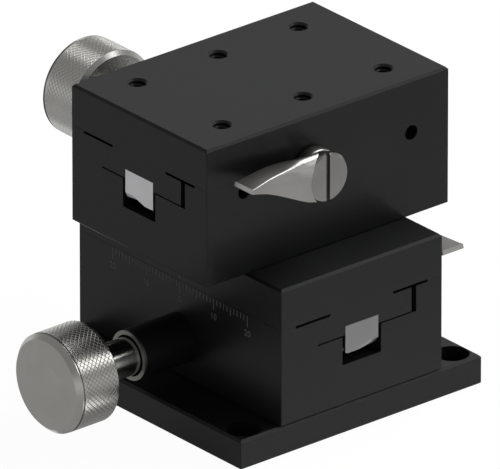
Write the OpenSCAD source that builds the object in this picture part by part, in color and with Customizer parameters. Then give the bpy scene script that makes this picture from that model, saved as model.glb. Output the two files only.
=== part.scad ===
// Two-axis dovetail translation stage: two rack-and-pinion slides, crossed and stacked on a flanged plate.
// Each slide is drawn in its own frame: travel along Y, knob at -X, clamp lever at +X, underside at z = 0.

/* [Slides] */
// Length of a table and of its base, along the travel
table_l = 60; // [58:1:80]
// Width of a table and of its base, across the travel
table_w = 40; // [40:1:50]
// Thickness of a table above the sliding seam
table_t = 8.5; // [8:0.5:12]
// Height of a base, up to the sliding seam
base_h = 20; // [20:0.5:26]
// Travel of a table to each side of the middle
travel = 20; // [10:1:20]
// Bevel round the top of a table and of the plate
edge_bevel = 0.5; // [0.2:0.1:0.5]
// Bevel on the upright edges
corner_bevel = 0.1; // [0.05:0.05:0.3]
// Bevel round the underside of a base and of the plate
foot_bevel = 0.2; // [0.1:0.05:0.4]

/* [Dovetail] */
// Width of the dovetail where it meets the table
neck_w = 15.4; // [14.4:0.2:16]
// Height of the dovetail
dove_h = 5.5; // [5:0.1:5.5]
// Angle of the dovetail's flanks to the horizontal
flank_angle = 60; // [56:1:66]
// Sideways play between the dovetail and its seats
slide_play = 0.02; // [0.02:0.01:0.05]
// Width of each outer land that carries the table
land_w = 3.6; // [2:0.1:5]
// Depth of the relief between the lands
relief_d = 0.5; // [0.3:0.1:0.6]
// Gap between the underside of the dovetail and the channel floor
floor_gap = 0.3; // [0.1:0.05:0.4]

/* [Gib] */
// Thickness of the gib along its lower edge
gib_foot = 1.5; // [1.2:0.1:2]
// Width of the slot behind the gib
gib_slot = 1.2; // [0.6:0.1:1.4]
// Distance between the two gib screws
gib_screw_span = 41.4; // [32:0.2:44]
// Length of a gib screw
gib_screw_l = 5; // [4:0.5:6]
// Height of the gib screws and the clamp screw below the seam
clamp_drop = 2.55; // [2.45:0.05:2.75]

/* [Rack and pinion] */
// Module of the teeth, measured along the travel
tooth_module = 0.5; // [0.45:0.01:0.5]
// Number of teeth on the pinion
pinion_teeth = 12; // [12:1:13]
// Pressure angle of the teeth
pressure_angle = 25; // [24:1:26]
// Slant of the teeth across the rack
helix = 8; // [4:1:10]
// Play between the teeth, measured along the travel
backlash = 0.12; // [0.1:0.02:0.2]
// Width of the rack
rack_w = 8.2; // [7:0.2:8.4]
// Depth of the rack's seat in the underside of the dovetail
rack_seat = 1.8; // [1.5:0.1:2]
// Height of the rack from its back to the pitch line of its teeth
rack_h = 5.3; // [5:0.1:5.5]
// Width of the pinion
pinion_w = 9; // [8.6:0.1:9.2]
// Width of the channel under the rack
rack_channel_w = 9.6; // [9.4:0.2:10.4]
// Depth of the channel below the tips of the rack's teeth
rack_channel_gap = 2.2; // [1:0.1:2.6]
// Shift between the teeth of one rack and the other, seen on their end faces
tooth_foot_x = 2.5; // [0:0.5:3]

/* [Knob and shaft] */
// Diameter of the knob
knob_d = 20; // [16:1:24]
// Length of the knob
knob_l = 10.4; // [9:0.1:14]
// Bevel round the front of the knob
knob_front_bevel = 1; // [0.4:0.1:1.5]
// Bevel round the back of the knob
knob_back_bevel = 0.6; // [0.2:0.1:1]
// Diameter of the shaft
shaft_d = 5; // [4.6:0.1:5]
// Outer diameter of the sleeve on the shaft, behind the knob
sleeve_d = 7.6; // [7:0.1:7.8]
// Gap between the bearing tube and the lower knob
lower_knob_gap = 10.4; // [4:0.2:16]
// Gap between the bearing tube and the upper knob
upper_knob_gap = 11.4; // [4:0.2:16]
// Diameter of the journal at the far end of the shaft
journal_d = 4; // [3.4:0.1:4.2]
// Length of the journal at the far end of the shaft
journal_l = 6; // [4:0.5:8]
// Outer diameter of the bearing tube
tube_d = 10; // [9.4:0.2:10.4]
// Length of the bearing tube outside the base
tube_show = 12.2; // [6:0.2:18]
// Diameter of the open mouth of the bearing tube
tube_mouth_d = 8.9; // [8.8:0.1:9]
// Depth of the open mouth of the bearing tube
tube_mouth_depth = 8; // [4:1:12]
// Thickness of the rim ring on the bearing tube
rim_t = 0.5; // [0.4:0.1:1]
// Length of the rim ring's sleeve inside the tube
rim_sleeve_l = 2; // [1:0.5:3]
// Outer diameter of the end bush
end_bush_d = 8; // [7:0.5:9]

/* [Clamp lever] */
// Distance of the clamp screw from the middle of the slide
clamp_y = 4.7; // [4:0.1:8]
// Diameter of the lever's hub and of the screw's head
hub_d = 10; // [8.6:0.1:10]
// Thickness of the lever's hub
hub_t = 2.6; // [2:0.1:3.4]
// Gap between the base and the lever's hub
hub_gap = 0.4; // [0.2:0.1:1]
// Length of the waist between the hub and the head of the screw
waist_l = 1; // [0.6:0.1:1.4]
// Thickness of the slotted head
head_t = 1.6; // [1.4:0.1:2.2]
// Length of the lever from the screw's axis to its tip, along the travel
lever_l = 21.4; // [16:0.2:22]
// Rise of the lever from the screw's axis to its tip
lever_rise = 4.45; // [3:0.05:6]
// Thickness of the lever's arm at the hub, along the screw
lever_root_t = 5.6; // [4:0.1:6]
// Outward lean of the lever between its hub and its tip
lever_lean = 3.1; // [2:0.1:3.5]
// Thickness of the lever's tip
lever_tip_t = 1; // [0.9:0.1:2]
// Width of the lever's tip
lever_tip_w = 5.2; // [4.4:0.1:6]

/* [Plate] */
// Thickness of the flanged plate
plate_t = 6; // [5:0.5:10]
// Width of the flange on each side of the lower base
flange_w = 10; // [9.5:0.5:14]
// Distance of the flange holes from the plate's edges
flange_hole_inset = 4; // [4:0.1:5]
// Diameter of the flange holes
flange_hole_d = 3.4; // [3.2:0.1:4.6]
// Diameter of the counterbores in the flange
flange_bore_d = 6.8; // [6:0.1:6.8]
// Depth of the counterbores in the flange
flange_bore_depth = 3.4; // [2:0.1:4.4]

/* [Holes and screws] */
// Spacing of the table holes across the travel
table_hole_x = 25; // [20:1:30]
// Spacing of the table holes along the travel
table_hole_y = 20; // [16:1:22]
// Diameter of the tapped table holes
table_hole_d = 3.3; // [2.5:0.1:4.2]
// Depth of the tapped table holes
table_hole_depth = 7; // [5:0.5:7]
// Diameter of the M3 screws
screw_d = 3; // [2.9:0.1:3]
// Diameter of an M3 cap head
cap_d = 5.5; // [5:0.1:5.6]
// Height of an M3 cap head
cap_h = 3; // [2.4:0.1:3.2]
// Spacing across its travel of the screws that hold the lower base
plate_screw_x = 24; // [18:1:28]
// Spacing along its travel of the screws that hold the lower base
plate_screw_y = 44; // [32:1:48]
// Spacing across its travel of the screws that hold the upper base
stack_screw_x = 16.4; // [16:0.2:16.6]
// Spacing along its travel of the screws that hold the upper base
stack_screw_y = 28; // [26:1:30]
// Diameter of the stop pin
stop_pin_d = 2.5; // [2:0.1:2.6]
// Distance of the stop pin from the middle of the slide, on the knob's side
stop_pin_x = 7.5; // [7.3:0.1:7.7]
// Distance of the stop pin from the middle of the slide, along the travel
stop_pin_y = 7; // [5:0.5:8]

/* [Hidden] */
$fn = 64;

fit = 0.03;                                   // radial clearance of a fixed round piece in its hole
run = 0.05;                                   // radial clearance of a turning shaft
over = 0.5;                                   // how far a cutter runs past a face
pass = 0.2;                                   // radial clearance of a screw that passes through
head_pass = 0.25;                             // radial clearance of a screw's head in its counterbore
side_gap = 0.4;                               // gap between the pinion and the bearing at either end
seam_bevel = 0.04;                            // broken edge along the sliding seam

black = [0.13, 0.13, 0.14];
steel = [0.72, 0.72, 0.70];
nickel = [0.62, 0.61, 0.58];
brass = [0.72, 0.58, 0.30];

unit_h = base_h + table_t;
dove_z = base_h - dove_h;                     // underside of the dovetail
floor_z = dove_z - floor_gap;                 // floor of the dovetail channel
relief_z = base_h - relief_d;
gib_back = flank_x(dove_z) + gib_foot;        // outer face of the gib
wall_in = gib_back + gib_slot;                // inner face of the base's wall on the lever side
clamp_z = base_h - clamp_drop;

pitch_r = tooth_module * pinion_teeth / 2;
tooth_pitch = PI * tooth_module;
addendum = tooth_module;
dedendum = 1.2 * tooth_module;
base_circle_r = pitch_r * cos(pressure_angle);
pinion_tip_r = pitch_r + addendum;
pinion_root_r = pitch_r - dedendum - 0.025;
rack_back_z = dove_z + rack_seat;
pitch_z = rack_back_z - rack_h;
rack_tip_z = pitch_z - addendum;
pinion_z = pitch_z - pitch_r;
rack_channel_z = rack_tip_z - rack_channel_gap;

rack_screw_d = 2;
rack_cap_d = 3.8;
rack_cap_h = 2;
rack_screw_inset = 4;                         // keeps the rack screws clear of the pinion's stretch
rack_screw_y = table_l / 2 - rack_screw_inset;
rack_screw_grip = 4;                          // depth of the rack screws in the table
rack_cap_z = pitch_z + dedendum + 0.1 + rack_cap_h;

tube_out = -table_w / 2 - tube_show;          // outer end of the bearing tube
tube_in = -pinion_w / 2 - side_gap;           // inner end of the bearing tube
knob_face_t = 2.2;                            // solid front of the knob beyond the shaft
bush_in = pinion_w / 2 + side_gap;            // inner end of the end bush
bush_out = bush_in + journal_l;
end_gap = 0.3;                                // gap between the journal and the end of its bore
tube_screw_x = -table_w / 2 + 5;
knob_screw_l = 4;
pad_t = 2;
dimple_d = 0.4;                               // depth of the dimples that the gib screws sit in
stop_pin_in = 6;                              // depth of the stop pin in the channel's floor
stop_pin_up = 1.6;                            // height of the stop pin above the dovetail's underside
stop_slot_d = 2;                              // depth of the slot that runs over the stop pin
plate_screw_grip = 5.4;                       // depth of the plate's screws in the lower base
plate_screw_web = 2.4;                        // plate left over the heads of its screws
stack_screw_grip = 5;                         // depth of the stacking screws in the lower table
blind_gap = 1;                                // gap between a screw's end and the bottom of its hole
head_sink = 0.4;                              // depth of the stacking screws' heads below the channel floor
hole_break = 0.8;                             // widening of the countersink round a table hole
rim_sleeve_t = 0.3;                           // wall of the rim ring's sleeve

hub_in = table_w / 2 + hub_gap;
hub_out = hub_in + hub_t;
head_in = hub_out + waist_l;
head_out = head_in + head_t;
lever_tip_in = hub_in + lever_lean;           // inner corner of the lever's tip
lever_tip_flat = 0.4;                         // length of the flat on the lever's tip
waist_d = hub_d - 3.2;                        // waist of the clamp screw, behind its head
head_gap = 0.15;                              // radial gap between the clamp screw's head and the lever
slot_w = 0.9;                                 // screwdriver slot of the clamp screw
slot_d = 0.8;

socket_af = 2.5;                              // hexagon of the M3 cap heads
set_socket_af = 1.5;                          // hexagon of the M3 set screws

// Half-width of the dovetail at height z
function flank_x(z) = neck_w / 2 + (base_h - z) / tan(flank_angle);

// Place of the lower slide: a quarter turn, on the plate
module on_plate() { translate([0, 0, plate_t]) rotate([0, 0, 90]) children(); }

// Place of the upper slide: on the lower table
module on_lower_table() { translate([0, 0, plate_t + unit_h]) children(); }

// Block with bevelled edges, centred on X and Y, standing on z
module bevelled_block(x, y, z, h, low_bevel, top_bevel) {
  b = corner_bevel;
  intersection() {
    translate([0, 0, z]) linear_extrude(h)
      polygon([[x/2 - b, -y/2], [x/2, -y/2 + b], [x/2, y/2 - b], [x/2 - b, y/2],
               [-x/2 + b, y/2], [-x/2, y/2 - b], [-x/2, -y/2 + b], [-x/2 + b, -y/2]]);
    along_y(y + 1) translate([0, z]) bevelled_section(x, h, low_bevel, top_bevel);
    along_x(x + 1) translate([0, z]) bevelled_section(y, h, low_bevel, top_bevel);
  }
}

// Rectangle w wide and h high, standing on the axis, with bevelled corners
module bevelled_section(w, h, low, top) {
  polygon([[-w/2 + low, 0], [w/2 - low, 0], [w/2, low], [w/2, h - top], [w/2 - top, h],
           [-w/2 + top, h], [-w/2, h - top], [-w/2, low]]);
}

// A section drawn in X and Z, extruded along Y
module along_y(length) {
  translate([0, length / 2, 0]) rotate([90, 0, 0]) linear_extrude(length) children();
}

// A section drawn in Y and Z, extruded along X
module along_x(length) {
  translate([-length / 2, 0, 0]) rotate([90, 0, 90]) linear_extrude(length) children();
}

// Solid rod along X between two places
module rod_x(x0, x1, r) { translate([x0, 0, 0]) rotate([0, 90, 0]) cylinder(h = x1 - x0, r = r); }

// Four copies on a rectangle
module at_corners(spacing) {
  for (x = [-1, 1], y = [-1, 1]) translate([x * spacing[0] / 2, y * spacing[1] / 2, 0]) children();
}

// Cap screw standing on its threaded end: its seat is at z = 0 and its head above
module cap_screw(d, length, head_d, head_h, af) {
  difference() {
    union() {
      translate([0, 0, -length]) cylinder(h = length, r = d / 2);
      cylinder(h = head_h, r = head_d / 2);
    }
    translate([0, 0, head_h / 2]) linear_extrude(head_h) circle(d = af / cos(30), $fn = 6);
  }
}

// Set screw along +X: its point is at x = 0 and its socket at x = length
module set_screw(length) {
  difference() {
    rod_x(0, length, screw_d / 2);
    translate([length / 2, 0, 0]) rotate([0, 90, 0])
      linear_extrude(length) circle(d = set_socket_af / cos(30), $fn = 6);
  }
}

// ---- flanged plate ----

plate_x = table_l;
plate_y = table_w + 2 * flange_w;
flange_holes = [plate_x - 2 * flange_hole_inset, plate_y - 2 * flange_hole_inset];
plate_screw_seat = plate_t - plate_screw_web;

module base_plate() {
  color(black) difference() {
    bevelled_block(plate_x, plate_y, 0, plate_t, foot_bevel, edge_bevel);
    at_corners(flange_holes) {
      translate([0, 0, -over]) cylinder(h = plate_t + 2 * over, r = flange_hole_d / 2);
      translate([0, 0, plate_t - flange_bore_depth]) cylinder(h = plate_t, r = flange_bore_d / 2);
    }
    rotate([0, 0, 90]) at_corners([plate_screw_x, plate_screw_y]) {
      translate([0, 0, -over]) cylinder(h = plate_t + 2 * over, r = screw_d / 2 + pass);
      translate([0, 0, -over]) cylinder(h = plate_screw_seat + over, r = cap_d / 2 + head_pass);
    }
  }
}

module base_plate_screws() {
  color(steel) rotate([0, 0, 90]) at_corners([plate_screw_x, plate_screw_y])
    translate([0, 0, plate_screw_seat]) mirror([0, 0, 1])
      cap_screw(screw_d, plate_screw_web + plate_screw_grip, cap_d, cap_h, socket_af);
}

// ---- base with its dovetail channel ----

module channel_section() {
  top = relief_z + relief_d / 2;
  polygon([[-flank_x(top) - slide_play, top], [-flank_x(floor_z) - slide_play, floor_z],
           [wall_in, floor_z], [wall_in, top]]);
}

module base_body() {
  difference() {
    bevelled_block(table_w, table_l, 0, base_h, foot_bevel, seam_bevel);
    // relief between the lands, dovetail channel and rack channel
    translate([-table_w / 2 + land_w, -table_l, relief_z])
      cube([table_w - 2 * land_w, 2 * table_l, relief_d + over]);
    along_y(table_l + 2) channel_section();
    translate([-rack_channel_w / 2, -table_l, rack_channel_z])
      cube([rack_channel_w, 2 * table_l, floor_z - rack_channel_z + over]);
    // bores of the bearing tube and of the end bush
    translate([0, 0, pinion_z]) {
      rod_x(-table_w, bush_in, tube_d / 2 + fit);
      rod_x(0, bush_out + end_gap, end_bush_d / 2 + fit);
    }
    translate([tube_screw_x, 0, -over]) cylinder(h = pinion_z, r = screw_d / 2 + fit);
    // threaded holes of the clamp screw and the gib screws, through the wall
    translate([0, -clamp_y, clamp_z]) rod_x(wall_in - over, table_w, screw_d / 2 + run);
    for (y = [-1, 1]) translate([0, y * gib_screw_span / 2, clamp_z])
      rod_x(wall_in - over, table_w, screw_d / 2 + fit);
    // hole of the stop pin
    translate([-stop_pin_x, stop_pin_y, stop_pin_z]) cylinder(h = base_h, r = stop_pin_d / 2 + fit);
  }
}

stop_pin_z = floor_z - stop_pin_in;
stack_seat_z = floor_z - cap_h - head_sink;

module lower_base() {
  color(black) on_plate() difference() {
    base_body();
    at_corners([plate_screw_x, plate_screw_y]) translate([0, 0, -over])
      cylinder(h = over + plate_screw_grip + blind_gap, r = screw_d / 2 + fit);
  }
}

module upper_base() {
  color(black) on_lower_table() difference() {
    base_body();
    at_corners([stack_screw_x, stack_screw_y]) {
      translate([0, 0, -over]) cylinder(h = base_h, r = screw_d / 2 + pass);
      translate([0, 0, stack_seat_z]) cylinder(h = base_h, r = cap_d / 2 + head_pass);
    }
  }
}

module stack_screws() {
  color(steel) on_lower_table() at_corners([stack_screw_x, stack_screw_y]) translate([0, 0, stack_seat_z])
    cap_screw(screw_d, stack_seat_z + stack_screw_grip, cap_d, cap_h, socket_af);
}

// ---- gib, its screws and the clamp pad ----

module gib() {
  color(black) difference() {
    along_y(table_l) polygon([[flank_x(relief_z) + slide_play, relief_z], [gib_back, relief_z],
                              [gib_back, dove_z], [flank_x(dove_z) + slide_play, dove_z]]);
    // dimples that the screws hold the gib by
    for (y = [-1, 1]) translate([gib_back - dimple_d, y * gib_screw_span / 2, clamp_z])
      rod_x(0, 2 * dimple_d, screw_d / 2 + fit);
  }
}

module gib_screws() {
  color(steel) for (y = [-1, 1]) translate([gib_back - dimple_d, y * gib_screw_span / 2, clamp_z])
    set_screw(gib_screw_l);
}

module clamp_pad() {
  color(brass) translate([gib_back, -clamp_y, clamp_z]) rod_x(0, pad_t, screw_d / 2);
}

module stop_pin() {
  color(steel) translate([-stop_pin_x, stop_pin_y, stop_pin_z])
    cylinder(h = dove_z + stop_pin_up - stop_pin_z, r = stop_pin_d / 2);
}

// ---- bearing tube, its rim ring and screw, and the end bush ----

module bearing_tube() {
  color(black) translate([0, 0, pinion_z]) difference() {
    rod_x(tube_out, tube_in, tube_d / 2);
    rod_x(tube_out - over, tube_in + over, shaft_d / 2 + run);
    rod_x(tube_out - over, tube_out + tube_mouth_depth, tube_mouth_d / 2);
  }
}

module tube_rim() {
  color(steel) translate([0, 0, pinion_z]) difference() {
    union() {
      rod_x(tube_out - rim_t, tube_out, tube_d / 2);
      rod_x(tube_out - rim_t, tube_out + rim_sleeve_l, tube_mouth_d / 2 - fit);
    }
    rod_x(tube_out - rim_t - over, tube_out + rim_sleeve_l + over, tube_mouth_d / 2 - rim_sleeve_t);
  }
}

module tube_screw() {
  l = pinion_z - tube_d / 2 - 0.3;
  color(steel) translate([tube_screw_x, 0, pinion_z - tube_d / 2 - 0.05]) rotate([0, 90, 0]) set_screw(l);
}

module end_bush() {
  color(brass) translate([0, 0, pinion_z]) difference() {
    rod_x(bush_in, bush_out, end_bush_d / 2);
    rod_x(bush_in - over, bush_out + over, journal_d / 2 + run);
  }
}

// ---- table with its dovetail ----

module table_body() {
  groove = rack_w / 2 + 0.05;
  difference() {
    union() {
      bevelled_block(table_w, table_l, base_h, table_t, seam_bevel, edge_bevel);
      along_y(table_l) polygon([
        [neck_w / 2, base_h + over], [neck_w / 2, base_h], [flank_x(dove_z), dove_z],
        [-flank_x(dove_z), dove_z], [-neck_w / 2, base_h], [-neck_w / 2, base_h + over]]);
    }
    translate([-groove, -table_l, dove_z - over]) cube([2 * groove, 2 * table_l, rack_seat + over]);
    for (y = [-1, 1]) translate([0, y * rack_screw_y, dove_z])
      cylinder(h = rack_seat + rack_screw_grip + blind_gap / 2, r = rack_screw_d / 2 + fit);
    // slot that runs over the stop pin
    translate([-stop_pin_x, stop_pin_y, dove_z - over]) linear_extrude(over + stop_slot_d) stop_slot();
  }
}

module stop_slot() {
  r = stop_pin_d / 2 + 0.15;
  for (y = [-1, 1]) translate([0, y * travel]) circle(r);
  translate([-r, -travel]) square([2 * r, 2 * travel]);
}

module lower_table() {
  color(black) on_plate() difference() {
    table_body();
    // holes of the screws that hold the upper base, a quarter turn from this table
    rotate([0, 0, 90]) at_corners([stack_screw_x, stack_screw_y])
      translate([0, 0, unit_h - stack_screw_grip - blind_gap])
        cylinder(h = stack_screw_grip + blind_gap + over, r = screw_d / 2 + fit);
  }
}

module upper_table() {
  color(black) on_lower_table() difference() {
    table_body();
    for (x = [-0.5, 0.5], y = [-1, 0, 1]) translate([x * table_hole_x, y * table_hole_y, 0]) {
      translate([0, 0, unit_h - table_hole_depth])
        cylinder(h = table_hole_depth + over, r = table_hole_d / 2);
      translate([0, 0, unit_h - hole_break / 2])
        cylinder(h = hole_break, r1 = table_hole_d / 2, r2 = table_hole_d / 2 + hole_break);
    }
  }
}

// ---- slanted rack ----

// Half the thickness of a rack tooth at height z, measured along the travel
function rack_tooth_half(z) = (tooth_pitch / 2 - backlash / 2) / 2 + (z - pitch_z) * tan(pressure_angle);

// Place of a tooth at the middle of the rack, for a tooth that meets the end face at foot_x
function tooth_y(foot_x) = -table_l / 2 - foot_x * tan(helix);

module rack_section(foot_x) {
  root_z = pitch_z + dedendum;
  count = ceil(table_l / tooth_pitch) + 3;
  teeth = [for (i = [-2 : count], side = [-1, 1], low = [side < 0 ? 0 : 1, side < 0 ? 1 : 0])
    let (z = low == 1 ? rack_tip_z : root_z)
    [(tooth_y(foot_x) + i * tooth_pitch + side * rack_tooth_half(z)) * cos(helix), z]];
  polygon(concat([[teeth[0][0], rack_back_z]], teeth, [[teeth[len(teeth) - 1][0], rack_back_z]]));
}

module rack(foot_x) {
  color(steel) difference() {
    intersection() {
      rotate([0, 0, helix]) along_x(2 * rack_w) rack_section(foot_x);
      translate([-rack_w / 2, -table_l / 2, rack_tip_z - over])
        cube([rack_w, table_l, rack_back_z - rack_tip_z + over]);
    }
    for (y = [-1, 1]) translate([0, y * rack_screw_y, 0]) {
      cylinder(h = rack_back_z + over, r = rack_screw_d / 2 + 0.1);
      cylinder(h = rack_cap_z, r = rack_cap_d / 2 + 0.2);
    }
  }
}

module rack_screws() {
  color(steel) for (y = [-1, 1]) translate([0, y * rack_screw_y, rack_cap_z]) mirror([0, 0, 1])
    cap_screw(rack_screw_d, rack_back_z - rack_cap_z + rack_screw_grip, rack_cap_d, rack_cap_h, 1.5);
}

// ---- pinion shaft ----

function involute(angle) = tan(angle) * 180 / PI - angle;

// Half-angle of a pinion tooth at radius r
function tooth_half_angle(r) =
  (tooth_pitch / 2 - backlash / 2) / (2 * pitch_r) * 180 / PI
  + involute(pressure_angle) - involute(acos(min(1, base_circle_r / r)));

module pinion_section() {
  radii = [pinion_root_r, for (i = [0 : 3]) base_circle_r + (pinion_tip_r - base_circle_r) * i / 3];
  half = [for (r = radii) [r, tooth_half_angle(max(r, base_circle_r))]];
  step = 360 / pinion_teeth;
  polygon([for (k = [0 : pinion_teeth - 1], side = [-1, 1], i = [0 : len(half) - 1])
    let (p = half[side < 0 ? i : len(half) - 1 - i], a = (k + 0.5) * step + 90 + side * p[1])
    p[0] * [cos(a), sin(a)]]);
}

// Back face of the knob, and the end of the shaft inside the knob
function knob_back(gap) = tube_out - gap;
function shaft_end(gap) = knob_back(gap) - knob_l + knob_face_t;

module pinion_shaft(foot_x, gap) {
  per_mm = 180 / PI / pitch_r;
  start = tooth_y(foot_x) - pinion_w / 2 * tan(helix);
  color(steel) translate([0, 0, pinion_z]) {
    rod_x(shaft_end(gap), -pinion_w / 2, shaft_d / 2);
    rod_x(-pinion_w, bush_out - end_gap, journal_d / 2);
    rotate([90, 0, 90]) translate([0, 0, -pinion_w / 2]) rotate(-start * per_mm)
      linear_extrude(pinion_w, twist = pinion_w * tan(helix) * per_mm, slices = 6) pinion_section();
  }
}

// ---- sleeve on the shaft, and the knob ----

module shaft_sleeve(gap) {
  color(steel) translate([0, 0, pinion_z]) difference() {
    rod_x(knob_back(gap), tube_out + tube_mouth_depth - end_gap, sleeve_d / 2);
    rod_x(knob_back(gap) - over, tube_out + tube_mouth_depth, shaft_d / 2 + fit);
  }
}

module knob(gap) {
  r = knob_d / 2;
  b = knob_back_bevel;
  f = knob_front_bevel;
  color(nickel) translate([knob_back(gap), 0, pinion_z]) difference() {
    rotate([0, -90, 0]) rotate_extrude()
      polygon([[0, 0], [r - b, 0], [r, b], [r, knob_l - f], [r - f, knob_l], [0, knob_l]]);
    rod_x(knob_face_t - knob_l - 0.2, over, shaft_d / 2 + fit);
    translate([-knob_l / 2, 0, -knob_d]) cylinder(h = knob_d, r = screw_d / 2 + fit);
  }
}

module knob_screw(gap) {
  color(steel) translate([knob_back(gap) - knob_l / 2, 0, pinion_z - shaft_d / 2 - 0.05])
    rotate([0, 90, 0]) set_screw(knob_screw_l);
}

// ---- clamp screw and lever ----

module clamp_screw() {
  r = hub_d / 2;
  c = 0.3;                                    // bevel round the head
  color(nickel) translate([0, -clamp_y, clamp_z]) difference() {
    union() {
      rod_x(gib_back + pad_t, head_in + c, screw_d / 2);
      rod_x(hub_out, head_in + c, waist_d / 2);
      translate([head_in, 0, 0]) rotate([0, 90, 0]) rotate_extrude()
        polygon([[0, 0], [r - c, 0], [r, c], [r, head_t - c], [r - c, head_t], [0, head_t]]);
    }
    translate([head_out - slot_d, -slot_w / 2, -hub_d]) cube([slot_d + over, slot_w, 2 * hub_d]);
  }
}

// A hub on the screw, and an arm that narrows from a rounded root to a thin, wide tip
module clamp_lever() {
  color(nickel) translate([0, -clamp_y, clamp_z]) difference() {
    union() {
      rod_x(hub_in, hub_out, hub_d / 2 - head_gap);
      hull() {
        translate([hub_in + lever_root_t / 2, 0, 0]) scale([lever_root_t / hub_d, 1, 1])
          sphere(d = hub_d, $fn = 48);
        translate([lever_tip_in, -lever_l, lever_rise - lever_tip_t / 2])
          cube([lever_tip_w, lever_tip_flat, lever_tip_t]);
      }
    }
    rod_x(0, table_w, screw_d / 2 + fit);
    rod_x(hub_out, table_w, hub_d / 2 + head_gap);
  }
}

// ---- the lower slide's pieces in place ----

module lower_gib() { on_plate() gib(); }
module lower_gib_screws() { on_plate() gib_screws(); }
module lower_stop_pin() { on_plate() stop_pin(); }
module lower_clamp_pad() { on_plate() clamp_pad(); }
module lower_bearing_tube() { on_plate() bearing_tube(); }
module lower_tube_rim() { on_plate() tube_rim(); }
module lower_tube_screw() { on_plate() tube_screw(); }
module lower_end_bush() { on_plate() end_bush(); }
module lower_rack() { on_plate() rack(-tooth_foot_x); }
module lower_rack_screws() { on_plate() rack_screws(); }
module lower_pinion_shaft() { on_plate() pinion_shaft(-tooth_foot_x, lower_knob_gap); }
module lower_shaft_sleeve() { on_plate() shaft_sleeve(lower_knob_gap); }
module lower_knob() { on_plate() knob(lower_knob_gap); }
module lower_knob_screw() { on_plate() knob_screw(lower_knob_gap); }
module lower_clamp_screw() { on_plate() clamp_screw(); }
module lower_clamp_lever() { on_plate() clamp_lever(); }

// ---- the upper slide's pieces in place ----

module upper_gib() { on_lower_table() gib(); }
module upper_gib_screws() { on_lower_table() gib_screws(); }
module upper_stop_pin() { on_lower_table() stop_pin(); }
module upper_clamp_pad() { on_lower_table() clamp_pad(); }
module upper_bearing_tube() { on_lower_table() bearing_tube(); }
module upper_tube_rim() { on_lower_table() tube_rim(); }
module upper_tube_screw() { on_lower_table() tube_screw(); }
module upper_end_bush() { on_lower_table() end_bush(); }
module upper_rack() { on_lower_table() rack(tooth_foot_x); }
module upper_rack_screws() { on_lower_table() rack_screws(); }
module upper_pinion_shaft() { on_lower_table() pinion_shaft(tooth_foot_x, upper_knob_gap); }
module upper_shaft_sleeve() { on_lower_table() shaft_sleeve(upper_knob_gap); }
module upper_knob() { on_lower_table() knob(upper_knob_gap); }
module upper_knob_screw() { on_lower_table() knob_screw(upper_knob_gap); }
module upper_clamp_screw() { on_lower_table() clamp_screw(); }
module upper_clamp_lever() { on_lower_table() clamp_lever(); }

base_plate();
base_plate_screws();
lower_base();
lower_gib();
lower_gib_screws();
lower_stop_pin();
lower_clamp_pad();
lower_bearing_tube();
lower_tube_rim();
lower_tube_screw();
lower_end_bush();
lower_table();
lower_rack();
lower_rack_screws();
lower_pinion_shaft();
lower_shaft_sleeve();
lower_knob();
lower_knob_screw();
lower_clamp_screw();
lower_clamp_lever();
stack_screws();
upper_base();
upper_gib();
upper_gib_screws();
upper_stop_pin();
upper_clamp_pad();
upper_bearing_tube();
upper_tube_rim();
upper_tube_screw();
upper_end_bush();
upper_table();
upper_rack();
upper_rack_screws();
upper_pinion_shaft();
upper_shaft_sleeve();
upper_knob();
upper_knob_screw();
upper_clamp_screw();
upper_clamp_lever();
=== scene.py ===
import math

import bmesh
import bpy
from mathutils import Matrix, Vector


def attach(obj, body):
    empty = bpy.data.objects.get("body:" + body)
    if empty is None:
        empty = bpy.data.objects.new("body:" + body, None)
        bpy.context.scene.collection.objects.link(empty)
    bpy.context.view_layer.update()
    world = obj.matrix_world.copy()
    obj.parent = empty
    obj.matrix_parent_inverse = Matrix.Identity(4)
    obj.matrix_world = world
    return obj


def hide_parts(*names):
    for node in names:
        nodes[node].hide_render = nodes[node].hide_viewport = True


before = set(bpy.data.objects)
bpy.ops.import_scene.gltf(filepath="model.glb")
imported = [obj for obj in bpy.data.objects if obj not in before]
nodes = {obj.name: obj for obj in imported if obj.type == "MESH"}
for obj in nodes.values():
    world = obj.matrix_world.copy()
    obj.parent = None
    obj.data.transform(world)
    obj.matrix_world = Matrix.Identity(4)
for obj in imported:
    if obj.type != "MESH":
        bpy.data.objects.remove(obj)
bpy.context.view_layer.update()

scene = bpy.context.scene
MM = 0.001


# ---- camera ----
# A long lens looks down on the stage from the side of the lower knob and the upper clamp lever,
# so far off that its edges stay nearly parallel.

camera_azimuth = math.radians(50)
camera_elevation = math.radians(25)
camera_aim = Vector((-1.26, -1.50, 29.6)) * MM
view_width = 95.36 * MM
lens_mm, sensor_mm = 1550, 36

toward_camera = Vector((
    math.sin(camera_azimuth) * math.cos(camera_elevation),
    -math.cos(camera_azimuth) * math.cos(camera_elevation),
    math.sin(camera_elevation)))
camera = bpy.data.objects.new("camera", bpy.data.cameras.new("camera"))
camera.data.lens = lens_mm
camera.data.sensor_width = sensor_mm
camera.data.clip_start, camera.data.clip_end = 0.1, 30
camera.location = camera_aim + toward_camera * (view_width * lens_mm / sensor_mm)
camera.rotation_mode = "QUATERNION"
camera.rotation_quaternion = (-toward_camera).to_track_quat("-Z", "Y")
scene.collection.objects.link(camera)
scene.camera = camera


# ---- lamps and surroundings ----
# Soft boxes to the right, high to the left and overhead behind light the stage, in a pale room.
# Metal shows the room's walls brightest at eye level and greyer above and below.

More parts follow.
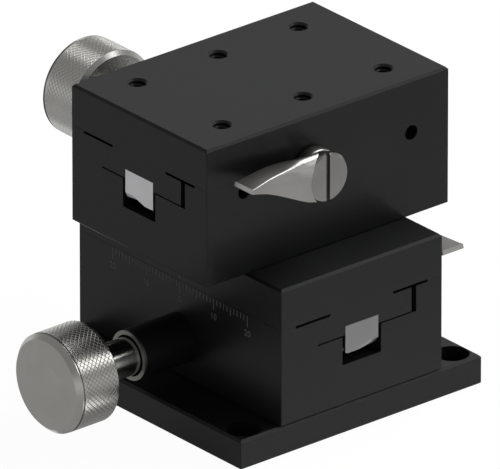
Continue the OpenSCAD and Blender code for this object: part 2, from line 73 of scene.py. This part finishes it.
def soft_box(name, place, size, radiance):
    lamp = bpy.data.lights.new(name, "AREA")
    lamp.shape = "RECTANGLE"
    lamp.size, lamp.size_y = size
    lamp.energy = radiance * math.pi * size[0] * size[1]
    box = bpy.data.objects.new(name, lamp)
    box.location = place
    box.rotation_mode = "QUATERNION"
    box.rotation_quaternion = (camera_aim - Vector(place)).to_track_quat("-Z", "Y")
    scene.collection.objects.link(box)


soft_box("key_box", (0.37, 0.36, 0.37), (0.2, 0.2), 5.5)
soft_box("left_box", (-0.42, 0.06, 0.46), (0.22, 0.22), 1.4)
soft_box("top_box", (0.0, 0.43, 0.65), (0.4, 0.4), 9.0)

scene.view_settings.view_transform = "Standard"


class Material:
    """A node material; node() adds any node and returns its output as a Value."""

    def __init__(self, name, tree=None):
        if tree is None:
            self.data = bpy.data.materials.new(name)
            self.data.use_nodes = True
            tree = self.data.node_tree
        self.tree = tree
        tree.nodes.clear()

    def node(self, kind, sockets=(), output=0, **settings):
        made = self.tree.nodes.new(kind)
        for key, value in settings.items():
            setattr(made, key, value)
        for key, value in dict(sockets).items():
            if isinstance(value, Value):
                self.tree.links.new(value.socket, made.inputs[key])
            else:
                made.inputs[key].default_value = value
        return Value(self, made.outputs[output]) if made.outputs else made

    def place(self):
        return self.node("ShaderNodeTexCoord", output="Object")

    def noise(self, scale, detail, place):
        return self.node(
            "ShaderNodeTexNoise", {"Vector": place, "Scale": scale, "Detail": detail}, output="Fac")

    def blend(self, factor, first, second):
        """A colour between two others."""
        return self.node("ShaderNodeMix", {0: factor, 6: first, 7: second}, output=2, data_type="RGBA")


class Value:
    """A node's output; arithmetic on it adds Math nodes."""

    def __init__(self, material, socket):
        self.material, self.socket = material, socket

    def _math(self, operation, *values):
        return self.material.node("ShaderNodeMath", enumerate(values), operation=operation)

    def __add__(self, other): return self._math("ADD", self, other)
    def __radd__(self, other): return self._math("ADD", other, self)
    def __sub__(self, other): return self._math("SUBTRACT", self, other)
    def __rsub__(self, other): return self._math("SUBTRACT", other, self)
    def __mul__(self, other): return self._math("MULTIPLY", self, other)
    def __rmul__(self, other): return self._math("MULTIPLY", other, self)

    def maximum(self, other): return self._math("MAXIMUM", self, other)
    def absolute(self): return self._math("ABSOLUTE", self)

    def output(self, name):
        """Another output of the same node."""
        return Value(self.material, self.socket.node.outputs[name])

    def parts(self):
        """The x, y and z of a vector."""
        split = self.material.node("ShaderNodeSeparateXYZ", {0: self})
        outputs = split.socket.node.outputs
        return [Value(self.material, outputs[i]) for i in range(3)]


world = bpy.data.worlds.new("studio")
world.use_nodes = True
scene.world = world
room = Material("studio", world.node_tree)
seen = room.node("ShaderNodeLightPath")
seen_directly = seen.output("Is Camera Ray")
mirrored = seen.output("Is Glossy Ray") + seen.output("Is Transmission Ray")
height = room.node("ShaderNodeTexCoord", output="Generated").parts()[2]
ceiling_glow, wall_glow, wall_fade, fill_glow = 0.54, 0.9, 3, 0.15
pale = (1 - height.absolute() * wall_fade).maximum(0) * wall_glow + ceiling_glow
filled = (1 - seen_directly - mirrored).maximum(0)
strength = filled * fill_glow + seen_directly + mirrored * pale
glow = room.node("ShaderNodeBackground", {"Color": (1, 1, 1, 1), "Strength": strength})
room.node("ShaderNodeOutputWorld", {"Surface": glow})


# ---- floor ----
# A large sheet of white paper with a slight gloss, laid just under the plate. It looks nearly white
# to the camera and in the metal, and keeps the stage's soft shadow.

def finish_piece(name, bm, material, smooth_below=30):
    """The finished piece of a bmesh: normals outwards, and smooth but at edges above that angle."""
    mesh = bpy.data.meshes.new(name)
    bmesh.ops.recalc_face_normals(bm, faces=bm.faces)
    bm.to_mesh(mesh)
    bm.free()
    for face in mesh.polygons:
        face.use_smooth = True
    mesh.set_sharp_from_angle(angle=math.radians(smooth_below))
    mesh.materials.append(material.data)
    piece = bpy.data.objects.new(name, mesh)
    scene.collection.objects.link(piece)
    return piece


paper = Material("white_paper")
ray = paper.node("ShaderNodeLightPath")
in_view, in_metal = ray.output("Is Camera Ray"), ray.output("Is Glossy Ray")
view_share, view_lift, sheen_share = 0.95, 0.02, 0.6
white_to = in_view * view_share + in_metal + ray.output("Is Transmission Ray")
matt = paper.node("ShaderNodeBsdfDiffuse", {"Color": (0.8, 0.8, 0.8, 1)})
white = paper.node("ShaderNodeEmission", {"Color": (1, 1, 1, 1), "Strength": in_view * view_lift + 1.0})
dull = paper.node("ShaderNodeMixShader", {0: white_to, 1: matt, 2: white})
sheen = paper.node("ShaderNodeBsdfGlossy", {"Color": (1, 1, 1, 1), "Roughness": 0.1})
sheet = paper.node("ShaderNodeMixShader", {0: in_metal * sheen_share, 1: dull, 2: sheen})
paper.node("ShaderNodeOutputMaterial", {"Surface": sheet})

floor_half, floor_drop = 6, 0.05 * MM
floor_mesh = bmesh.new()
bmesh.ops.create_grid(
    floor_mesh, x_segments=1, y_segments=1, size=floor_half,
    matrix=Matrix.Translation((0, 0, -floor_drop)))
floor = finish_piece("floor", floor_mesh, paper)


# ---- black anodised blocks ----
# The plate, both bases, both tables, the gibs and the bearing tubes: milled from aluminium,
# bead-blasted and anodised black, which leaves a fine matt grain with a faint cloud in the dye.

black_shade, black_roughness, black_gloss = 0.012, 0.34, 0.13
cloud_size, grain_size, grain_height = 60, 2600, 0.01 * MM


def anodised(name):
    m = Material(name)
    place = m.place()
    cloud = m.noise(cloud_size, 4, place)
    grain = m.noise(grain_size, 2, place)
    dark = tuple(black_shade * share for share in (0.86, 0.88, 0.9)) + (1,)
    light = tuple(black_shade * share for share in (1.1, 1.13, 1.15)) + (1,)
    bump = m.node("ShaderNodeBump", {"Strength": 0.1, "Distance": grain_height, "Height": grain})
    skin = m.node("ShaderNodeBsdfPrincipled", {
        "Base Color": m.blend(cloud, dark, light),
        "Roughness": black_roughness + (cloud - 0.5) * 0.08 + (grain - 0.5) * 0.04,
        "Specular IOR Level": black_gloss, "Normal": bump})
    m.node("ShaderNodeOutputMaterial", {"Surface": skin})
    return m


def coat(material, *names):
    for name in names:
        mesh = nodes[name].data
        mesh.materials.clear()
        mesh.materials.append(material.data)


coat(anodised("anodised_plate"), "base_plate")
for level in ("lower", "upper"):
    coat(anodised(level + "_anodised_base"), level + "_base", level + "_gib")
    coat(anodised(level + "_anodised_table"), level + "_table")
    coat(anodised(level + "_anodised_tube"), level + "_bearing_tube")


# A slide's own frame: its travel is along Y, its knob at -X and its lever at +X
plate_top, lower_table_top, table_top = 6 * MM, 34.5 * MM, 63 * MM
in_lower = Matrix.Translation((0, 0, plate_top)) @ Matrix.Rotation(math.radians(90), 4, "Z")
in_upper = Matrix.Translation((0, 0, lower_table_top))
slides = (("lower", in_lower), ("upper", in_upper))
body_under = {"lower": "fixed_base", "upper": "lower_carriage"}
body_over = {"lower": "lower_carriage", "upper": "upper_carriage"}


# ---- tapped threads ----
# M4 threads in the six holes of the upper table, for bolting on what the stage carries. They are
# tapped before the table is anodised, so they are as black as it is.

thread_pitch, thread_turns, thread_steps = 0.7 * MM, 8, 20
thread_start = table_top - thread_pitch * (thread_turns + 1.6)
hole_radius, crest_radius = 1.66 * MM, 1.42 * MM
holes_across, holes_along = (-12.5, 12.5), (-20, 0, 20)
crest_at, flank_end = thread_pitch * 0.42, thread_pitch * 0.84
thread_black = anodised("anodised_thread")
coils = bmesh.new()
for x in holes_across:
    for y in holes_along:
        bm = bmesh.new()
        corners = [bm.verts.new(c) for c in (
            (hole_radius, 0, 0), (crest_radius, 0, crest_at), (hole_radius, 0, flank_end))]
        bm.faces.new(corners)
        bmesh.ops.spin(
            bm, geom=bm.verts[:] + bm.edges[:] + bm.faces[:], axis=(0, 0, 1), cent=(0, 0, 0),
            dvec=(0, 0, thread_pitch / thread_steps), angle=2 * math.pi * thread_turns,
            steps=thread_turns * thread_steps)
        bmesh.ops.holes_fill(bm, edges=bm.edges, sides=0)
        in_hole = Matrix.Translation((x * MM, y * MM, thread_start))
        bmesh.ops.transform(bm, verts=bm.verts, matrix=in_hole)
        coil = bpy.data.meshes.new("thread")
        bm.to_mesh(coil)
        bm.free()
        coils.from_mesh(coil)
        bpy.data.meshes.remove(coil)
threads = finish_piece("table_threads", coils, thread_black)
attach(threads, "upper_carriage")


# ---- scales ----
# A millimetre scale under the seam on each base's knob side, and an index line above it on each
# table, both engraved through the black and left a dull grey.

scale_face, seam_height = -20 * MM, 20 * MM
scale_half, mark_depth, mark_width = 20, 0.012 * MM, 0.2 * MM
seam_gap, number_drop, number_size, index_reach = 0.3 * MM, 3.1 * MM, 1.9 * MM, 2.4 * MM
tick_every_ten, tick_every_five, tick_between = 2.4, 1.8, 1.2
mark_paint = Material("grey_engraving")
speck = mark_paint.noise(900, 3, mark_paint.place())
dull_grey = mark_paint.node("ShaderNodeBsdfPrincipled", {
    "Base Color": mark_paint.blend(speck, (0.1, 0.1, 0.102, 1), (0.2, 0.2, 0.203, 1)),
    "Roughness": speck * 0.2 + 0.5, "Specular IOR Level": 0.12})
mark_paint.node("ShaderNodeOutputMaterial", {"Surface": dull_grey})


def add_mark(bm, along, low, high):
    middle = Matrix.Translation((scale_face, along, (low + high) / 2))
    stretch = Matrix.Diagonal((2 * mark_depth, mark_width, high - low, 1))
    bmesh.ops.create_cube(bm, size=1, matrix=middle @ stretch)


def add_number(bm, along, top, digits):
    curve = bpy.data.curves.new("number", "FONT")
    curve.body, curve.size, curve.extrude = digits, number_size, mark_depth
    curve.align_x, curve.align_y = "CENTER", "TOP"
    curve.resolution_u = 3
    number = bpy.data.objects.new("number", curve)
    scene.collection.objects.link(number)
    bpy.context.view_layer.update()
    shape = bpy.data.meshes.new_from_object(number)
    facing = Matrix(((0, 0, -1, scale_face), (-1, 0, 0, along), (0, 1, 0, top), (0, 0, 0, 1)))
    shape.transform(facing)
    bm.from_mesh(shape)
    bpy.data.objects.remove(number)
    bpy.data.curves.remove(curve)
    bpy.data.meshes.remove(shape)


for level, in_slide in slides:
    bm = bmesh.new()
    for mark in range(-scale_half, scale_half + 1):
        reach = tick_every_ten if mark % 10 == 0 else tick_every_five if mark % 5 == 0 else tick_between
        add_mark(bm, mark * MM, seam_height - seam_gap - reach * MM, seam_height - seam_gap)
        if mark % 10 == 0:
            add_number(bm, mark * MM, seam_height - number_drop, str(abs(mark)))
    bmesh.ops.remove_doubles(bm, verts=bm.verts, dist=0.001 * MM)
    bmesh.ops.transform(bm, verts=bm.verts, matrix=in_slide)
    scale = finish_piece(level + "_scale", bm, mark_paint)
    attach(scale, body_under[level])
    bm = bmesh.new()
    add_mark(bm, 0, seam_height + seam_gap, seam_height + seam_gap + index_reach)
    bmesh.ops.transform(bm, verts=bm.verts, matrix=in_slide)
    index = finish_piece(level + "_index", bm, mark_paint)
    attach(index, body_over[level])


# ---- knurled knobs ----
# Turned from brass, diamond-knurled round the side and satin nickel-plated, with a plain ring
# behind the front bevel. A set screw holds each knob on its shaft.

stain_size, stain_dark, stain_light, stain_dullness = 200, 0.92, 1.06, 0.08


def turned_metal(name, shade, roughness):
    m = Material(name)
    stain = m.noise(stain_size, 3, m.place())
    dark = tuple(part * stain_dark for part in shade) + (1,)
    light = tuple(part * stain_light for part in shade) + (1,)
    skin = m.node("ShaderNodeBsdfPrincipled", {
        "Base Color": m.blend(stain, dark, light), "Metallic": 1.0,
        "Roughness": roughness + (stain - 0.5) * stain_dullness})
    m.node("ShaderNodeOutputMaterial", {"Surface": skin})
    return m


pinion_height = 8 * MM
knob_radius, knob_length = 10 * MM, 10.4 * MM
front_bevel, back_bevel, back_step_in = 1.0 * MM, 0.7 * MM, 0.9 * MM
ring_groove_width, ring_groove_depth = 0.5 * MM, 0.25 * MM
ring_groove_wall, ring_ease = 0.1 * MM, 0.05 * MM
knob_back = {"lower": -42.6 * MM, "upper": -43.6 * MM}
knurl_round, knurl_rows = 60, 8
groove_depth, groove_slope = 0.045 * MM, 0.11 * MM
valley_radius = knob_radius - groove_depth

# Each end's outline from the knurl to its flat face: distance from the knob's back, and radius
back_profile = ((0, knob_radius - back_step_in),)
front_ring = knob_length - front_bevel
groove_floor = knob_radius - ring_groove_depth
front_profile = (
    (front_ring - ring_groove_width, groove_floor),
    (front_ring - ring_groove_wall, groove_floor),
    (front_ring, knob_radius - ring_ease),
    (knob_length, knob_radius - front_bevel))
near = 0.01 * MM
knurl_start, knurl_end = back_bevel, knob_length - front_bevel - ring_groove_width
knob_metal = turned_metal("knob_nickel", (0.3, 0.296, 0.28), 0.27)
for level, in_slide in slides:
    bm = bmesh.new()
    bmesh.ops.create_grid(bm, x_segments=knurl_round, y_segments=knurl_rows, size=0.5)
    bmesh.ops.poke(bm, faces=bm.faces)
    for v in bm.verts:
        turn = 2 * math.pi * v.co.x
        along = knurl_start + (v.co.y + 0.5) * (knurl_end - knurl_start)
        v.co = (valley_radius * math.cos(turn), valley_radius * math.sin(turn), along)
    bmesh.ops.remove_doubles(bm, verts=bm.verts, dist=near)
    square_edges = []
    for e in bm.edges:
        step = e.verts[1].co - e.verts[0].co
        if not e.is_boundary and (abs(step.z) < near or step.xy.length < near):
            square_edges.append(e)
    bmesh.ops.dissolve_edges(bm, edges=square_edges, use_verts=False)
    bmesh.ops.recalc_face_normals(bm, faces=bm.faces)
    if bm.faces[0].normal.dot(bm.faces[0].calc_center_median() * Vector((1, 1, 0))) < 0:
        bmesh.ops.reverse_faces(bm, faces=bm.faces)
    diamonds = [f for f in bm.faces if len(f.verts) == 4]
    bmesh.ops.inset_individual(bm, faces=diamonds, thickness=groove_slope, depth=groove_depth)
    for start, profile in ((knurl_start, back_profile), (knurl_end, front_profile)):
        rim = [e for e in bm.edges if e.is_boundary and abs(e.verts[0].co.z - start) < near]
        for along, radius in profile:
            grown = bmesh.ops.extrude_edge_only(bm, edges=rim)["geom"]
            rim = [g for g in grown if isinstance(g, bmesh.types.BMEdge)]
            for v in [g for g in grown if isinstance(g, bmesh.types.BMVert)]:
                v.co = Vector((v.co.x, v.co.y, 0)).normalized() * radius + Vector((0, 0, along))
        bmesh.ops.edgeloop_fill(bm, edges=rim)
    on_shaft = Matrix.Translation((knob_back[level], 0, pinion_height))
    outward = Matrix.Rotation(math.radians(-90), 4, "Y")
    bmesh.ops.transform(bm, verts=bm.verts, matrix=in_slide @ (on_shaft @ outward))
    knob = finish_piece(level + "_knurled_knob", bm, knob_metal, 20)
    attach(knob, level + "_knob_shaft")
    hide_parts(level + "_knob")


# ---- clamp levers ----
# Nickel-plated castings: a hub round the clamp screw, whose head sits in a pocket of it, and a
# smooth arm that flattens into a thin finger tab. Turning one presses the gib on the dovetail.

def carve(body, cutters, operation="DIFFERENCE"):
    """Takes each cutter from the body's mesh, or adds it; the cutters are used up."""
    for cutter in cutters:
        change = body.modifiers.new("carve", "BOOLEAN")
        change.operation, change.solver, change.object = operation, "EXACT", cutter
        done = bmesh.new()
        bpy.context.view_layer.update()
        done.from_object(body, bpy.context.evaluated_depsgraph_get())
        body.modifiers.clear()
        done.to_mesh(body.data)
        done.free()
        bpy.data.objects.remove(cutter)


def block_from(bm):
    mesh = bpy.data.meshes.new("block")
    bmesh.ops.recalc_face_normals(bm, faces=bm.faces)
    bm.to_mesh(mesh)
    bm.free()
    block = bpy.data.objects.new("block", mesh)
    scene.collection.objects.link(block)
    return block


def rod_out(start, end, radius, bevel=0):
    """A rod along +X."""
    bm = bmesh.new()
    bmesh.ops.create_cone(
        bm, cap_ends=True, segments=72, radius1=radius, radius2=radius, depth=end - start)
    if bevel:
        rims = [e for e in bm.edges if abs(e.verts[0].co.z - e.verts[1].co.z) < near]
        bmesh.ops.bevel(
            bm, geom=rims, offset=bevel, segments=3, affect="EDGES", profile=0.5, material=-1)
    lying = Matrix.Rotation(math.radians(90), 4, "Y")
    at_middle = Matrix.Translation((0, 0, (start + end) / 2))
    bmesh.ops.transform(bm, verts=bm.verts, matrix=lying @ at_middle)
    return block_from(bm)


# Along the arm from the screw: distance, rise off the middle line, distance out from the hub's back,
# half of the height, half of the thickness, and how square the upper half of the section is
arm_sections = (
    (-1.0, 0.00, 3.3, 4.60, 2.1, 2.0),
    (2.0, -0.05, 3.6, 4.75, 2.2, 2.0),
    (5.5, -0.10, 3.85, 4.26, 2.5, 2.0),
    (7.4, -0.02, 4.0, 3.9, 2.4, 2.2),
    (9.2, 0.05, 4.15, 3.45, 2.25, 4.0),
    (12.0, 0.20, 4.4, 2.75, 2.25, 10.0),
    (14.6, 0.32, 4.7, 2.10, 2.3, 14.0),
    (17.0, 0.32, 5.0, 1.50, 2.35, 16.0),
    (19.2, 0.18, 5.35, 1.00, 2.45, 18.0),
    (21.0, 0.03, 5.6, 0.60, 2.58, 20.0),
    (21.8, 0.00, 5.7, 0.50, 2.6, 20.0))
# The lower half is a flat-sided box: its share of the height, and how far its outer side leans out
under_height, under_lean = 0.88, 0.14
hub_back, hub_front = 20.4 * MM, 23 * MM
hub_radius, hub_bevel, head_radius, pocket_gap = 4.85 * MM, 0.3 * MM, 5 * MM, 0.15 * MM
screw_bore, beyond_lever = 1.53 * MM, 40 * MM
clamp_across, clamp_height = -4.7 * MM, 17.45 * MM
arm_length, tip_rise = 21.4, 4.45
arm_angle = math.atan2(tip_rise, arm_length)
ring_points = 48

lever_metal = turned_metal("lever_nickel", (0.26, 0.256, 0.246), 0.3)
for level, in_slide in slides:
    bm = bmesh.new()
    ring = bmesh.ops.create_circle(bm, cap_ends=False, segments=ring_points, radius=1)["verts"]
    edges = bm.edges[:]
    rings = [ring]
    for _ in arm_sections[1:]:
        grown = bmesh.ops.extrude_edge_only(bm, edges=edges)["geom"]
        edges = [g for g in grown if isinstance(g, bmesh.types.BMEdge)]
        rings.append([g for g in grown if isinstance(g, bmesh.types.BMVert)])
    for verts, (along, rise, out, half_height, half_thick, square) in zip(rings, arm_sections):
        for v in verts:
            turn = math.atan2(v.co.y, v.co.x)
            wide, high = math.cos(turn), math.sin(turn)
            if high > 1e-6:
                wide = math.copysign(abs(wide) ** (2 / square), wide)
                high = high ** (2 / square)
                lean = 0
            else:
                reach = max(abs(wide), abs(high))
                wide, high = wide / reach, high / reach * under_height
                lean = under_lean * -high * half_height if wide > 0 else 0
            v.co = (
                (out + wide * (half_thick + lean)) * MM,
                (rise + high * half_height) * MM,
                along * MM)
    bmesh.ops.holes_fill(bm, edges=bm.edges, sides=0)
    # the arm's thickness is along X, its height along Y and its length along Z
    tilted = Matrix.Rotation(math.radians(90) - arm_angle, 4, "X")
    bmesh.ops.transform(bm, verts=bm.verts, matrix=Matrix.Translation((hub_back, 0, 0)) @ tilted)
    lever = block_from(bm)
    carve(lever, [rod_out(hub_back, hub_front, hub_radius, hub_bevel)], "UNION")
    pocket = rod_out(hub_front, beyond_lever, head_radius + pocket_gap)
    carve(lever, [pocket, rod_out(0, beyond_lever, screw_bore)])
    bm = bmesh.new()
    bm.from_mesh(lever.data)
    bpy.data.objects.remove(lever)
    on_screw = Matrix.Translation((0, clamp_across, clamp_height))
    bmesh.ops.transform(bm, verts=bm.verts, matrix=in_slide @ on_screw)
    lever = finish_piece(level + "_cast_lever", bm, lever_metal, 35)
    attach(lever, level + "_clamp")
    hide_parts(level + "_clamp_lever")


# ---- shafts, sleeves and rim rings ----
# Ground steel shafts with the pinion cut on each, a turned steel sleeve on the shaft behind each
# knob, and a turned rim ring set in the mouth of each bearing tube.

bright = turned_metal("bright_steel", (0.45, 0.45, 0.43), 0.2)
rimmed = turned_metal("turned_rim", (0.16, 0.16, 0.15), 0.35)
sleeved = turned_metal("turned_sleeve", (0.4, 0.4, 0.375), 0.2)
for level in body_under:
    coat(bright, level + "_pinion_shaft")
    coat(rimmed, level + "_tube_rim")
    coat(sleeved, level + "_shaft_sleeve")


# ---- racks ----
# Helical racks milled from steel bar, each held by two screws in the seat under its table. Both are
# the same steel: the upper one's colour is painted paler and the lower one's darker, as painted light
# and shade.

# Painted light and shade on one steel: a paler colour for the upper rack, a darker one for the lower
for level, shade in (("lower", 0.16), ("upper", 0.48)):
    rack_steel_painted = turned_metal(level + "_rack_painted_light", (shade, shade, shade * 1.02), 0.4)
    coat(rack_steel_painted, level + "_rack")


# ---- screws, pins and bushes ----
# Slotted clamp screws in nickel plate; steel cap screws, set screws and stop pins in black oxide;
# the bushes at the shafts' far ends and the pads behind the clamp screws are of turned brass.

head_metal = turned_metal("screw_nickel", (0.19, 0.187, 0.18), 0.24)
blacked = turned_metal("black_oxide", (0.05, 0.05, 0.052), 0.35)
yellow = turned_metal("turned_brass", (0.6, 0.42, 0.18), 0.25)
coat(blacked, "base_plate_screws", "stack_screws")
blacked_parts = ("_gib_screws", "_stop_pin", "_tube_screw", "_rack_screws", "_knob_screw")
for level in body_under:
    coat(head_metal, level + "_clamp_screw")
    coat(blacked, *(level + part for part in blacked_parts))
    coat(yellow, level + "_end_bush", level + "_clamp_pad")
